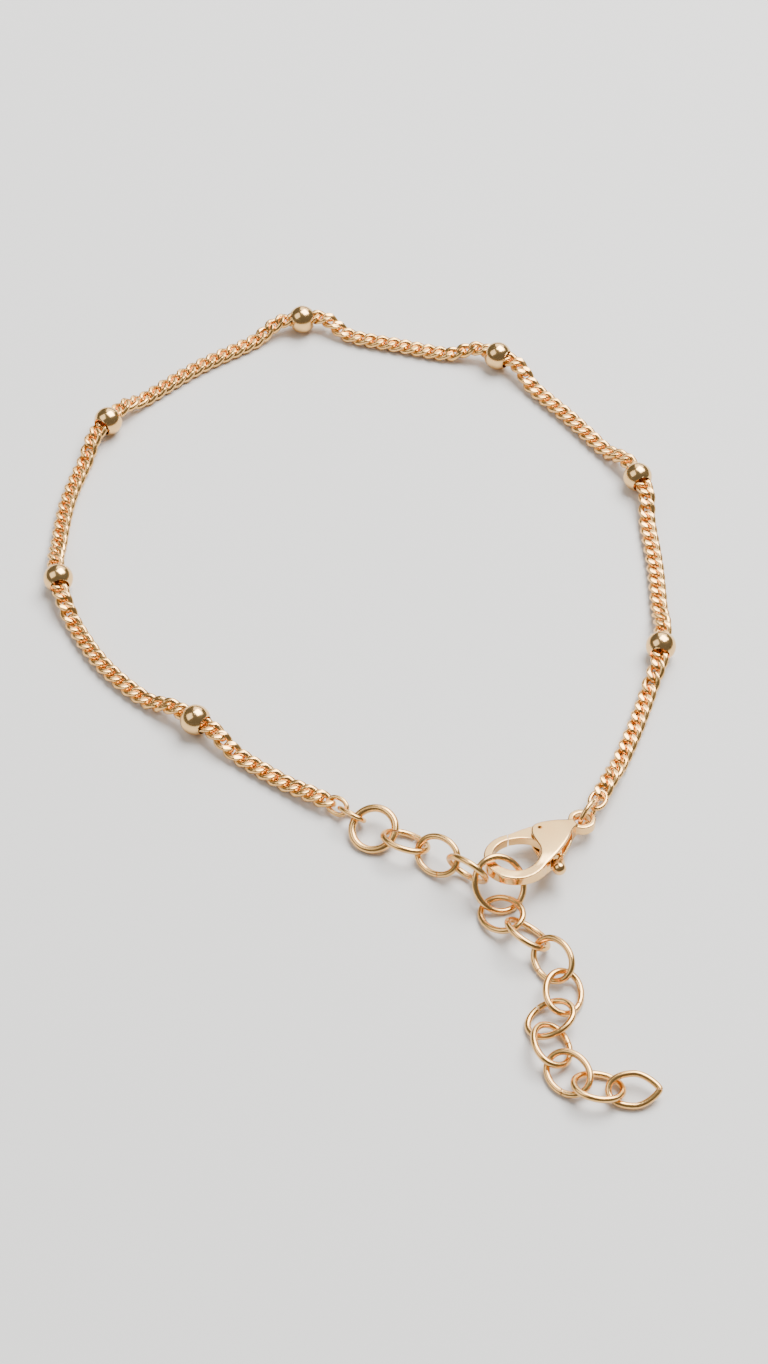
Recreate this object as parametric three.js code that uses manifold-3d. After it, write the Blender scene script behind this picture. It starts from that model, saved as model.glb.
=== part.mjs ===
// Bead chain bracelet, fastened and laid out on a flat surface: a fine curb chain threaded with round beads,
// a lobster clasp at one end, and at the other an extender of oval links, one of them held by the hook.
// Millimetres, +Z up. The surface is z = 0, and the origin is the middle of the bracelet's footprint.

import * as THREE from 'three';
import { mergeVertices } from 'three/addons/utils/BufferGeometryUtils.js';
import Module from 'manifold-3d';

const wasm = await Module();
wasm.setup();

const { degToRad, smootherstep } = THREE.MathUtils;

// Driving dimensions

const BEAD = { diameter: 2.5, bore: 1.7, sides: 16, arcSteps: 8 };

const CHAIN = {
  width: 1.3,
  thickness: 0.86,
  sides: 8,
  step: 2.2,
  restHeight: 0.47, // centre line where the chain lies on the surface
  straight: 1.7, // length each side of a support that stays level
  descent: 3.6, // length over which it then comes down to the surface
  joinGap: 0.3, // between the two halves, inside the middle bead
};

// A link's long and short are its wire's middle line from the centre, and wire is the wire's radius.
const LAST_LINK = { long: 0.88, short: 0.6, wire: 0.19, fusedAt: 0.78 };
const CLASP_END_POSE = { heading: 66, roll: 0 };
const EXTENDER_END_POSE = { heading: -38, roll: 35 };
const CLASP_RING = { long: 1.25, short: 1.0, wire: 0.2, heading: 56, fromEyelet: 1.02, height: 1.22 };
const END_LINK = { long: 1.14, short: 0.8, wire: 0.19 };
const JUMP_RING = { long: 1.7, short: 1.7, wire: 0.31 };
const EXTENDER_LINK = { long: 1.79, short: 1.415, wire: 0.26 };
const HOOKED_LINK = { long: 2.1, short: 1.9, wire: 0.26 };
const LAST_EXTENDER_LINK = { long: 1.84, short: 1.4, wire: 0.26, pinch: 0.4 };
const LINK_MESH = { around: 16, section: 6 };
const ARC_SEGMENTS = 8; // half the sides of a clasp arc
const SPLINE_SEGMENTS = 2; // sides between two points of a clasp outline
const LEVER_SEGMENTS = 1; // half the sides of the gate's rounded end

const CLASP = {
  eyelet: new THREE.Vector3(15.33, -15.18, 1.2),
  heading: 209.2, // from the eyelet to the hook
  tilt: 5, // raises the hook
  roll: 8.5, // raises the spine
  bodyThickness: 1.6,
  hookThickness: 0.95,
  eyeletThickness: 0.75,
  leverThickness: 0.8,
  slotThickness: 1.0,
  eyeletRadius: 1.08,
  eyeletHole: 0.66,
  pinRadius: 0.25,
  pinHole: 0.36,
  edge: 0.2, // width of the rounded edges
  leverEdge: 0.12,
  nubRadius: 0.55,
};

// The clasp's plan, with its eyelet at the origin, +X towards the hook and +Y towards the spine
const HOOK_OUTER = { x: 6.6, y: 1.04, rx: 2.55, ry: 2.44 };
const HOOK_INNER = { x: 6.5, y: 0.92, rx: 1.85, ry: 1.72 };
const HOOK_TIP_ANGLE = -99;
const HOOK_ROOT_ANGLE = 125;
const SHOULDER_ANGLE = 177;
const PIVOT = { x: 3.6, y: -0.42 };
const GATE = { radius: 2.5, outer: -1.22, inner: -0.78 };
const NUB = { x: 4.28, y: 3.48 };
const SLOT = { start: 1.5, gateEnd: 4.9, tailEnd: 4.65, gateSide: -2, step: 1.05, spineSide: 4 };
const TAPER = { start: 0.4, startHalf: 0.42, full: 2.0, end: 6, side: 4 };

// The chain's way in plan. bow is how far the stretch that ends here swings to the left of its straight line,
// and z is the height of the chain's middle line on this support.
const LOOP = [
  { at: 'clasp_end', x: 16.7, y: -13.02, z: 1.2, bow: 0 },
  { at: 'bead_1', x: 22.7, y: 2.8, z: BEAD.diameter / 2, bow: -0.45 },
  { at: 'bead_2', x: 22.0, y: 22.2, z: BEAD.diameter / 2, bow: -0.55 },
  { at: 'bead_3', x: 10.3, y: 37.5, z: BEAD.diameter / 2, bow: -0.5 },
  { at: 'bead_4', x: -7.5, y: 42.4, z: BEAD.diameter / 2, bow: 0.3 },
  { at: 'bead_5', x: -24.4, y: 29.1, z: BEAD.diameter / 2, bow: -1.35 },
  { at: 'bead_6', x: -27.3, y: 10.3, z: BEAD.diameter / 2, bow: -1.5 },
  { at: 'bead_7', x: -15.1, y: -5.0, z: BEAD.diameter / 2, bow: -2.2 },
  { at: 'extender_end', x: -3.65, y: -13.3, z: 0.8, bow: -0.5 },
];
const JOIN_BEAD = 'bead_4';
const BOW_STEPS = [0.25, 0.5, 0.75];

// How each loose link lies: its centre, the heading of its long axis, the pitch that raises its head end
// and the roll that raises its left side, in degrees
const LIES = [
  { name: 'end_link', size: END_LINK, x: -2.5, y: -14.25, z: 0.96, heading: -40, pitch: 9, roll: -55 },
  { name: 'jump_ring', size: JUMP_RING, x: -0.8, y: -15.65, z: 0.95, heading: -31, pitch: -1, roll: 21 },
  { name: 'extender_01', size: EXTENDER_LINK, x: 1.65, y: -16.9, z: 1.0, heading: -27, pitch: 1, roll: -30 },
  { name: 'extender_02', size: EXTENDER_LINK, x: 4.1, y: -18.45, z: 1.3, heading: -35, pitch: 9, roll: 44 },
  { name: 'extender_03', size: EXTENDER_LINK, x: 6.35, y: -20.15, z: 1.95, heading: -44, pitch: 27, roll: -74 },
  { name: 'extender_04', size: HOOKED_LINK, x: 8.75, y: -21.35, z: 1.6, heading: -60, pitch: -39, roll: 4 },
  { name: 'extender_05', size: EXTENDER_LINK, x: 8.9, y: -23.55, z: 0.78, heading: -43, pitch: 14, roll: 10 },
  { name: 'extender_06', size: EXTENDER_LINK, x: 10.75, y: -25.65, z: 1.17, heading: -46, pitch: 0, roll: -39 },
  { name: 'extender_07', size: EXTENDER_LINK, x: 12.55, y: -27.95, z: 1.22, heading: -55, pitch: 0, roll: 41 },
  { name: 'extender_08', size: EXTENDER_LINK, x: 13.25, y: -30.6, z: 0.83, heading: -102, pitch: -1, roll: -22 },
  { name: 'extender_09', size: EXTENDER_LINK, x: 12.2, y: -32.85, z: 0.75, heading: -150, pitch: -12, roll: 12 },
  { name: 'extender_10', size: EXTENDER_LINK, x: 12.2, y: -35.15, z: 0.85, heading: -80, pitch: 2, roll: -23 },
  { name: 'extender_11', size: EXTENDER_LINK, x: 13.3, y: -37.45, z: 0.73, heading: -52, pitch: -1, roll: 18 },
  { name: 'extender_12', size: EXTENDER_LINK, x: 15.4, y: -38.65, z: 0.81, heading: -6, pitch: -6, roll: -20 },
  { name: 'extender_13', size: LAST_EXTENDER_LINK, x: 17.95, y: -38.85, z: 0.75, heading: -1, pitch: 4, roll: 19 },
];

// Finishes

const polishedGold = () => new THREE.MeshStandardMaterial({ color: 0xd9a66e, roughness: 0.15, metalness: 1 });
const satinGold = () => new THREE.MeshStandardMaterial({ color: 0xc9955e, roughness: 0.3, metalness: 1 });

// Solids: joining and cutting closed meshes

function solidOf(geometry) {
  const bare = geometry.clone();
  bare.deleteAttribute('normal');
  bare.deleteAttribute('uv');
  const merged = mergeVertices(bare);
  const vertProperties = Float32Array.from(merged.attributes.position.array);
  const triVerts = Uint32Array.from(merged.index.array);
  return new wasm.Manifold(new wasm.Mesh({ numProp: 3, vertProperties, triVerts }));
}

function geometryOf(solid) {
  const mesh = solid.getMesh();
  const geometry = new THREE.BufferGeometry();
  geometry.setAttribute('position', new THREE.BufferAttribute(mesh.vertProperties, 3));
  geometry.setIndex(new THREE.BufferAttribute(mesh.triVerts, 1));
  geometry.computeVertexNormals();
  return geometry;
}

function pieceOf(name, geometry, material) {
  const mesh = new THREE.Mesh(geometry, material);
  mesh.name = name;
  return mesh;
}

// Turns a piece whose long axis is +X: roll about that axis first, then pitch, then heading.
function lay(object, { heading, pitch = 0, roll = 0 }) {
  object.rotation.set(degToRad(roll), degToRad(-pitch), degToRad(heading), 'ZYX');
  return object;
}

// Oval wire links

function linkGeometry({ long, short, wire, pinch = 0 }) {
  const geometry = new THREE.TorusGeometry(1, 0.25, LINK_MESH.section, LINK_MESH.around);
  const { position, uv } = geometry.attributes;
  for (let i = 0; i < position.count; i += 1) {
    const turn = 2 * Math.PI * uv.getX(i);
    const around = 2 * Math.PI * uv.getY(i);
    const narrowing = 1 - (pinch * (1 + Math.cos(turn))) / 2;
    const slopeX = -long * Math.sin(turn);
    const slopeY = short * (Math.cos(turn) * narrowing + (pinch * Math.sin(turn) ** 2) / 2);
    const reach = (wire * Math.cos(around)) / Math.hypot(slopeX, slopeY);
    const x = long * Math.cos(turn) + reach * slopeY;
    const y = short * Math.sin(turn) * narrowing - reach * slopeX;
    position.setXYZ(i, x, y, wire * Math.sin(around));
  }
  geometry.computeVertexNormals();
  return geometry;
}

function looseLink({ name, size, x, y, z, ...pose }) {
  const link = lay(pieceOf(name, linkGeometry(size), satinGold()), pose);
  link.position.set(x, y, z);
  return link;
}

// Chain: its way round the loop, and the two halves that meet inside the middle bead

function bowPoints(from, to) {
  const start = new THREE.Vector3(from.x, from.y, 0);
  const end = new THREE.Vector3(to.x, to.y, 0);
  const along = end.clone().sub(start).normalize();
  const left = new THREE.Vector3(-along.y, along.x, 0);
  return BOW_STEPS.map((t) => start.clone().lerp(end, t).addScaledVector(left, 4 * to.bow * t * (1 - t)));
}

// Each bead has a straight run through it, so its row gives three points.
function planPoints() {
  const bows = LOOP.slice(1).map((row, index) => bowPoints(LOOP[index], row));
  const points = [];
  LOOP.forEach((row, index) => {
    const centre = new THREE.Vector3(row.x, row.y, 0);
    const before = bows[index - 1];
    const after = bows[index];
    if (before && after) {
      const run = after[0].clone().sub(before[before.length - 1]).setLength(CHAIN.straight);
      points.push(centre.clone().sub(run), centre, centre.clone().add(run));
    } else {
      points.push(centre);
    }
    points.push(...(after ?? []));
  });
  return points;
}

class ChainRoute extends THREE.Curve {
  constructor() {
    super();
    const points = planPoints();
    const samples = 20;
    this.plan = new THREE.CatmullRomCurve3(points);
    this.plan.arcLengthDivisions = (points.length - 1) * samples;
    const lengths = this.plan.getLengths();
    this.length = lengths[lengths.length - 1];
    this.supports = LOOP.map((row) => {
      const index = points.findIndex((point) => point.x === row.x && point.y === row.y);
      return { ...row, along: lengths[index * samples] };
    });
  }

  heightAt(along) {
    let height = CHAIN.restHeight;
    for (const support of this.supports) {
      const away = Math.abs(along - support.along);
      const lowered = smootherstep(away, CHAIN.straight, CHAIN.straight + CHAIN.descent);
      height += (support.z - CHAIN.restHeight) * (1 - lowered);
    }
    return height;
  }

  getPoint(t, target = new THREE.Vector3()) {
    this.plan.getPointAt(t, target);
    target.z = this.heightAt(t * this.length);
    return target;
  }

  headingAt(along) {
    const tangent = this.plan.getTangentAt(along / this.length);
    return THREE.MathUtils.radToDeg(Math.atan2(tangent.y, tangent.x));
  }
}

class Stretch extends THREE.Curve {
  constructor(route, from, to) {
    super();
    Object.assign(this, { route, from, to });
  }

  getPoint(t, target = new THREE.Vector3()) {
    return this.route.getPoint((this.from + (this.to - this.from) * t) / this.route.length, target);
  }
}

const route = new ChainRoute();
const supportNamed = (name) => route.supports.find((support) => support.at === name);

function chainSection() {
  const corner = Math.PI / CHAIN.sides;
  const points = [];
  for (let side = 0; side < CHAIN.sides; side += 1) {
    const angle = corner * (2 * side + 1);
    const height = (CHAIN.thickness / 2) * (Math.cos(angle) / Math.cos(corner));
    const width = (CHAIN.width / 2) * (Math.sin(angle) / Math.cos(corner));
    points.push(new THREE.Vector2(height, width));
  }
  return new THREE.Shape(points);
}

function lastLinkSolid(along, pose) {
  const link = lay(new THREE.Object3D(), pose);
  link.position.copy(route.getPoint(along / route.length));
  link.updateMatrix();
  return solidOf(linkGeometry(LAST_LINK).applyMatrix4(link.matrix));
}

function chainHalf(name, from, to, lastLink) {
  const steps = Math.round((to - from) / CHAIN.step);
  const extrudePath = new Stretch(route, from, to);
  const tube = new THREE.ExtrudeGeometry(chainSection(), { steps, extrudePath });
  return pieceOf(name, geometryOf(solidOf(tube).add(lastLink)), satinGold());
}

function chainHalves() {
  const middle = supportNamed(JOIN_BEAD).along;
  const end = route.length;
  const claspLink = lastLinkSolid(0, CLASP_END_POSE);
  const extenderLink = lastLinkSolid(end, EXTENDER_END_POSE);
  return [
    chainHalf('curb_chain_right', LAST_LINK.fusedAt, middle - CHAIN.joinGap / 2, claspLink),
    chainHalf('curb_chain_left', middle + CHAIN.joinGap / 2, end - LAST_LINK.fusedAt, extenderLink),
  ];
}

// Beads, drilled for the chain

function beadGeometry() {
  const radius = BEAD.diameter / 2;
  const halfAngle = Math.acos(BEAD.bore / BEAD.diameter);
  const profile = [];
  for (let step = 0; step <= BEAD.arcSteps; step += 1) {
    const angle = halfAngle * ((2 * step) / BEAD.arcSteps - 1);
    profile.push(new THREE.Vector2(radius * Math.cos(angle), radius * Math.sin(angle)));
  }
  profile.push(profile[0].clone());
  return new THREE.LatheGeometry(profile, BEAD.sides);
}

function beads() {
  return route.supports
    .filter((support) => support.at.startsWith('bead_'))
    .map((support) => {
      const bead = pieceOf(support.at, beadGeometry(), polishedGold());
      bead.position.set(support.x, support.y, support.z);
      bead.rotation.z = degToRad(route.headingAt(support.along) - 90);
      return bead;
    });
}

// Clasp: a hooked body with a slot for the lever, and the sprung lever on its pin

const points = (pairs) => pairs.map(([x, y]) => new THREE.Vector2(x, y));

function slab(shape, thickness, edge, curveSegments) {
  const geometry = new THREE.ExtrudeGeometry(shape, {
    depth: thickness - 2 * edge,
    bevelThickness: edge,
    bevelSize: edge,
    bevelOffset: -edge,
    bevelSegments: 2,
    curveSegments,
  });
  return geometry.translate(0, 0, edge - thickness / 2);
}

function hookShape() {
  const tip = degToRad(HOOK_TIP_ANGLE);
  const root = degToRad(HOOK_ROOT_ANGLE);
  const shape = new THREE.Shape();
  shape.absellipse(HOOK_OUTER.x, HOOK_OUTER.y, HOOK_OUTER.rx, HOOK_OUTER.ry, tip, root, false);
  shape.absellipse(HOOK_INNER.x, HOOK_INNER.y, HOOK_INNER.rx, HOOK_INNER.ry, root, tip, true);
  shape.closePath();
  return shape;
}

function bodyShape() {
  const shoulder = degToRad(SHOULDER_ANGLE);
  const root = degToRad(HOOK_ROOT_ANGLE);
  const shape = new THREE.Shape();
  shape.moveTo(0.75, 0.55);
  shape.lineTo(0.75, -0.2);
  shape.splineThru(points([[1.15, -0.3], [2.25, -0.68], [3.15, -0.94], [4.0, -0.84]]));
  shape.splineThru(points([[4.33, -0.5], [4.55, 0.1], [4.62, 0.7]]));
  shape.absellipse(HOOK_INNER.x, HOOK_INNER.y, HOOK_INNER.rx, HOOK_INNER.ry, shoulder, root, true);
  shape.lineTo(5.25, 3.1);
  shape.splineThru(points([[4.5, 2.83], [3.5, 2.36], [1.9, 1.33], [1.4, 0.9]]));
  shape.closePath();
  return shape;
}

function taperSolid() {
  const half = CLASP.bodyThickness / 2;
  const profile = new THREE.Shape();
  profile.moveTo(TAPER.start, -TAPER.startHalf);
  profile.lineTo(TAPER.full, -half);
  profile.lineTo(TAPER.end, -half);
  profile.lineTo(TAPER.end, half);
  profile.lineTo(TAPER.full, half);
  profile.lineTo(TAPER.start, TAPER.startHalf);
  profile.closePath();
  const wedge = new THREE.ExtrudeGeometry(profile, { depth: 2 * TAPER.side, bevelEnabled: false });
  return solidOf(wedge.rotateX(Math.PI / 2).translate(0, TAPER.side, 0));
}

function slotSolid() {
  const box = (x0, x1, y0, y1) => {
    const geometry = new THREE.BoxGeometry(x1 - x0, y1 - y0, CLASP.slotThickness);
    return solidOf(geometry.translate((x0 + x1) / 2, (y0 + y1) / 2, 0));
  };
  const gatePart = box(SLOT.start, SLOT.gateEnd, SLOT.gateSide, SLOT.step);
  const tailPart = box(SLOT.start, SLOT.tailEnd, SLOT.gateSide, SLOT.spineSide);
  return gatePart.add(tailPart);
}

function claspBody() {
  const ring = new THREE.Shape().absarc(0, 0, CLASP.eyeletRadius, 0, 2 * Math.PI, false);
  ring.holes.push(new THREE.Path().absarc(0, 0, CLASP.eyeletHole, 0, 2 * Math.PI, true));
  const eyelet = solidOf(slab(ring, CLASP.eyeletThickness, CLASP.leverEdge, ARC_SEGMENTS));
  const hook = solidOf(slab(hookShape(), CLASP.hookThickness, CLASP.edge, ARC_SEGMENTS));
  const plate = solidOf(slab(bodyShape(), CLASP.bodyThickness, CLASP.edge, SPLINE_SEGMENTS));
  const cheeks = plate.intersect(taperSolid()).subtract(slotSolid());
  const pin = pivotSolid(CLASP.pinRadius, CLASP.bodyThickness - CLASP.edge);
  const solid = cheeks.add(hook).add(eyelet).add(pin);
  return pieceOf('clasp_body', geometryOf(solid), polishedGold());
}

function gateShape() {
  const from = Math.asin((GATE.outer - PIVOT.y) / GATE.radius);
  const to = Math.asin((GATE.inner - PIVOT.y) / GATE.radius);
  const shape = new THREE.Shape();
  shape.moveTo(3.35, GATE.outer);
  shape.absarc(PIVOT.x, PIVOT.y, GATE.radius, from, to, false);
  shape.lineTo(4.7, -0.15);
  shape.lineTo(4.3, 0.6);
  shape.lineTo(3.1, 0.4);
  shape.lineTo(3.05, -0.4);
  return shape;
}

// The tail leaves the gate bar inside the slot and bends towards the hook as it comes out at the spine.
function tailShapes() {
  const inSlot = new THREE.Shape(points([[3.1, 0.1], [4.3, 0.1], [3.95, 2.1], [2.95, 1.95]]));
  const outside = new THREE.Shape(points([[2.95, 1.6], [3.95, 1.8], [4.6, 3.15], [4.0, 3.6]]));
  return [inSlot, outside];
}

function pivotSolid(radius, length) {
  const pin = new THREE.CylinderGeometry(radius, radius, length, 12);
  return solidOf(pin.rotateX(Math.PI / 2).translate(PIVOT.x, PIVOT.y, 0));
}

function claspLever() {
  const bars = [gateShape(), ...tailShapes()].map((shape) =>
    solidOf(slab(shape, CLASP.leverThickness, CLASP.leverEdge, LEVER_SEGMENTS)),
  );
  const nub = solidOf(new THREE.SphereGeometry(CLASP.nubRadius, 16, 10).translate(NUB.x, NUB.y, 0));
  const solid = wasm.Manifold.union([...bars, nub]).subtract(pivotSolid(CLASP.pinHole, CLASP.bodyThickness));
  return pieceOf('clasp_lever', geometryOf(solid), polishedGold());
}

function clasp() {
  const group = lay(new THREE.Group(), { heading: CLASP.heading, pitch: CLASP.tilt, roll: CLASP.roll });
  group.position.copy(CLASP.eyelet);
  group.add(claspBody(), claspLever());
  return group;
}

function claspRing() {
  const heading = degToRad(CLASP_RING.heading);
  const ring = pieceOf('clasp_ring', linkGeometry(CLASP_RING), satinGold());
  lay(ring, { heading: CLASP_RING.heading, roll: 90 });
  ring.position.set(
    CLASP.eyelet.x + CLASP_RING.fromEyelet * Math.cos(heading),
    CLASP.eyelet.y + CLASP_RING.fromEyelet * Math.sin(heading),
    CLASP_RING.height,
  );
  return ring;
}

// Assembly, moved so that the origin is the bottom middle of its box

const layout = new THREE.Group();
layout.add(...chainHalves(), ...beads(), clasp(), claspRing(), ...LIES.map(looseLink));
layout.updateMatrixWorld(true);

const box = new THREE.Box3().setFromObject(layout, true);
const middle = box.getCenter(new THREE.Vector3());
layout.position.set(-middle.x, -middle.y, -box.min.z);

const bracelet = new THREE.Group();
bracelet.name = 'bead_chain_bracelet';
bracelet.add(layout);

export default bracelet;
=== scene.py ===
"""Bead chain bracelet: the finished chain, beads, clasp, rings and extender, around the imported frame.

Sizes are in millimetres, in the plan of the laid-out bracelet. They become metres in the frame when a piece
is set down.
"""

import logging
import math
from contextlib import contextmanager
from dataclasses import dataclass, field
from enum import Enum
from typing import Iterator

import bpy
import numpy as np
from mathutils import Euler, Matrix, Vector


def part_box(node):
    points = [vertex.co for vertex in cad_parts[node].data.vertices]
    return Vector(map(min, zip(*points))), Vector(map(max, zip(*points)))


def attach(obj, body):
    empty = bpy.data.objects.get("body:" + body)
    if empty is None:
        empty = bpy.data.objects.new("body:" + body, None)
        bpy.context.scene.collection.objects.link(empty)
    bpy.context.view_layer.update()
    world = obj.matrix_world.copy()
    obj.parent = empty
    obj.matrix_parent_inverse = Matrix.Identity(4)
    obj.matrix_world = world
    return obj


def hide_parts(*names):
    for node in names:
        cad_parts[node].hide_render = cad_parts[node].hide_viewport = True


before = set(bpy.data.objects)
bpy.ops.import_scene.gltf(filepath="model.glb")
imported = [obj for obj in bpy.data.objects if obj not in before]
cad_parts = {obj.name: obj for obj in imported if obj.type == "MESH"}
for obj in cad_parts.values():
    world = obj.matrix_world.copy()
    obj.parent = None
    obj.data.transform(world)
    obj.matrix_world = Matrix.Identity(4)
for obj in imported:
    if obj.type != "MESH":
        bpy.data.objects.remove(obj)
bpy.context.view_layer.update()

LOG = logging.getLogger("bracelet")
MM = 0.001

Point = tuple[float, float]
Colour = tuple[float, float, float, float]

# The sockets of a Mix node that mixes colours. They go by number, because their names repeat.
MIX_SHARE = 0
MIX_FIRST = 6
MIX_SECOND = 7
MIX_RESULT = 2


class Body(Enum):
    """The bodies of the frame that the pieces move with."""

    BRACELET = "bracelet"
    LEVER = "lever"


class Slot(Enum):
    """The record's material slots."""

    POLISHED = "gold_polished"
    WIRE = "gold_wire"


class Bench:
    """The modelling tools that every piece is made with. Pieces are shaped in millimetres."""

    @staticmethod
    def clear() -> None:
        """Deselects everything, so that the next operator acts on the new piece alone."""
        bpy.ops.object.select_all(action="DESELECT")

    @staticmethod
    def take(name: str) -> bpy.types.Object:
        """Names the piece that was just added and returns it."""
        piece = bpy.context.active_object
        piece.name = name
        piece.data.name = name
        return piece

    @staticmethod
    def pick(piece: bpy.types.Object) -> None:
        """Makes a piece the only selected and the active one."""
        Bench.clear()
        piece.select_set(True)
        bpy.context.view_layer.objects.active = piece

    @staticmethod
    @contextmanager
    def editing(piece: bpy.types.Object) -> Iterator[None]:
        """Opens a piece in edit mode for the length of a with block.

        Args:
            piece: The mesh or curve to edit.
        """
        Bench.pick(piece)
        bpy.ops.object.mode_set(mode="EDIT")
        yield
        bpy.ops.object.mode_set(mode="OBJECT")

    @staticmethod
    def modify(piece: bpy.types.Object, kind: str, **settings: object) -> None:
        """Adds a modifier and applies it.

        Args:
            piece: The mesh to change.
            kind: The modifier's type.
            **settings: Its settings by name.
        """
        Bench.pick(piece)
        modifier = piece.modifiers.new(kind.title(), kind)
        for key, value in settings.items():
            setattr(modifier, key, value)
        bpy.ops.object.modifier_apply(modifier=modifier.name)

    @staticmethod
    def cut(piece: bpy.types.Object, tool: bpy.types.Object) -> None:
        """Cuts a tool's shape out of a piece and throws the tool away."""
        Bench.modify(piece, "BOOLEAN", operation="DIFFERENCE", object=tool, solver="MANIFOLD")
        bpy.data.objects.remove(tool)

    @staticmethod
    def join(piece: bpy.types.Object, *others: bpy.types.Object) -> bpy.types.Object:
        """Joins other meshes into a piece.

        Args:
            piece: The mesh that is kept.
            *others: The meshes that become part of it.

        Returns:
            The joined piece.
        """
        Bench.pick(piece)
        for other in others:
            other.select_set(True)
        bpy.ops.object.join()
        return piece

    @staticmethod
    def box(low: tuple[float, float, float], high: tuple[float, float, float]) -> bpy.types.Object:
        """Adds a block between two corners.

        Args:
            low: Its lowest corner.
            high: Its highest corner.

        Returns:
            The block.
        """
        Bench.clear()
        bpy.ops.mesh.primitive_cube_add(size=1)
        block = Bench.take("block")
        middle = (Vector(low) + Vector(high)) / 2
        spans = Vector(high) - Vector(low)
        block.data.transform(Matrix.Translation(middle) @ Matrix.Diagonal((*spans, 1)))
        return block

    @staticmethod
    def plate(name: str, outline: list[Point], thickness: float) -> bpy.types.Object:
        """Adds a flat plate of any outline, with its middle at height 0.

        Args:
            name: The plate's name.
            outline: Its corners in order.
            thickness: Its thickness.

        Returns:
            The plate, with its faces pointing outwards.
        """
        Bench.clear()
        bpy.ops.mesh.primitive_circle_add(vertices=len(outline), fill_type="NGON")
        plate = Bench.take(name)
        for vertex, (x, y) in zip(plate.data.vertices, outline):
            vertex.co = (x, y, -thickness / 2)
        with Bench.editing(plate):
            bpy.ops.mesh.select_all(action="SELECT")
            bpy.ops.mesh.extrude_region_move(TRANSFORM_OT_translate={"value": (0, 0, thickness)})
            bpy.ops.mesh.select_all(action="SELECT")
            bpy.ops.mesh.normals_make_consistent(inside=False)
        return plate

    @staticmethod
    def cast(piece: bpy.types.Object, grain: float, rounds: int) -> None:
        """Fuses a joined piece into one skin and rounds its edges as tumbling does.

        Args:
            piece: The joined mesh.
            grain: The width of the new faces.
            rounds: How often the skin is smoothed.
        """
        Bench.modify(piece, "REMESH", mode="VOXEL", voxel_size=grain, use_smooth_shade=True)
        Bench.modify(piece, "SMOOTH", factor=0.5, iterations=rounds)

    @staticmethod
    def smooth(piece: bpy.types.Object, angle: float) -> None:
        """Shades a piece smooth, apart from edges sharper than an angle in degrees."""
        Bench.pick(piece)
        bpy.ops.object.shade_smooth_by_angle(angle=math.radians(angle))


class Curve:
    """A smooth curve through points, of the centripetal kind, which never loops between close points."""

    def __init__(self, points: np.ndarray, samples: int = 40) -> None:
        """Samples the curve.

        Args:
            points: The points that it goes through, one a row.
            samples: How many samples each stretch between two points has.
        """
        ends = [2 * points[0] - points[1], *points, 2 * points[-1] - points[-2]]
        steps = np.linspace(0, 1, samples, endpoint=False)[:, None]
        stretches = [self._stretch(np.array(ends[i:i + 4]), steps) for i in range(len(points) - 1)]
        self.samples = samples
        self.line = np.vstack([*stretches, points[-1:]])
        spans = np.linalg.norm(np.diff(self.line, axis=0), axis=1)
        self.along = np.concatenate([[0.0], np.cumsum(spans)])
        self.length = float(self.along[-1])

    @staticmethod
    def _stretch(four: np.ndarray, steps: np.ndarray) -> np.ndarray:
        """Samples the curve between the middle two of four points.

        Args:
            four: The points, one a row.
            steps: The shares of the stretch to sample at, as a column.

        Returns:
            The samples, one a row.
        """
        gaps = np.sqrt(np.linalg.norm(np.diff(four, axis=0), axis=1))
        before, here, after = gaps
        start, end = four[1], four[2]
        run = (end - start) / here
        leave = here * ((start - four[0]) / before - (end - four[0]) / (before + here) + run)
        arrive = here * (run - (four[3] - start) / (here + after) + (four[3] - end) / after)
        square = 3 * (end - start) - 2 * leave - arrive
        cube = 2 * (start - end) + leave + arrive
        return start + leave * steps + square * steps**2 + cube * steps**3

    def at(self, along: float) -> np.ndarray:
        """The point at a length along the curve."""
        return np.array([np.interp(along, self.along, column) for column in self.line.T])

    def along_of(self, index: int) -> float:
        """The length along the curve of one of the points that it was made through."""
        return float(self.along[index * self.samples])


def oval(centre: Point, radii: Point, start: float, stop: float, count: int) -> list[Point]:
    """Points on an upright ellipse.

    Args:
        centre: Its centre.
        radii: Its half width and half height.
        start: The first angle in degrees.
        stop: The last angle in degrees.
        count: How many points.

    Returns:
        The points in order.
    """
    angles = np.radians(np.linspace(start, stop, count))
    return [(centre[0] + radii[0] * math.cos(a), centre[1] + radii[1] * math.sin(a)) for a in angles]


def through(points: list[Point], samples: int = 8) -> list[Point]:
    """Points on a smooth curve through a few points."""
    return [(float(x), float(y)) for x, y in Curve(np.array(points), samples).line]


class Shader:
    """One material's node tree, with a method that adds any node."""

    def __init__(self, name: str) -> None:
        """Starts an empty material.

        Args:
            name: The material's name.
        """
        self.material = bpy.data.materials.new(name)
        self.material.use_nodes = True
        self.tree = self.material.node_tree
        self.tree.nodes.clear()

    def node(self, kind: str, settings: dict | None = None, **sockets: object) -> bpy.types.Node:
        """Adds a node.

        Args:
            kind: The node's type.
            settings: Its own settings, which are set first.
            **sockets: Values or links by socket name, with _ for a space.

        Returns:
            The node.
        """
        node = self.tree.nodes.new(kind)
        for key, value in (settings or {}).items():
            setattr(node, key, value)
        for key, value in sockets.items():
            self.feed(node, key.replace("_", " "), value)
        return node

    def feed(self, node: bpy.types.Node, socket: str | int, value: object) -> None:
        """Sets a socket's value, or links it where the value is an output or a wrapped one.

        Args:
            node: The node.
            socket: The input's name or number.
            value: The value or the output.
        """
        target = node.inputs[socket]
        if isinstance(value, Wire):
            value = value.socket
        if isinstance(value, bpy.types.NodeSocket):
            self.tree.links.new(value, target)
        else:
            target.default_value = value


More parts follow.
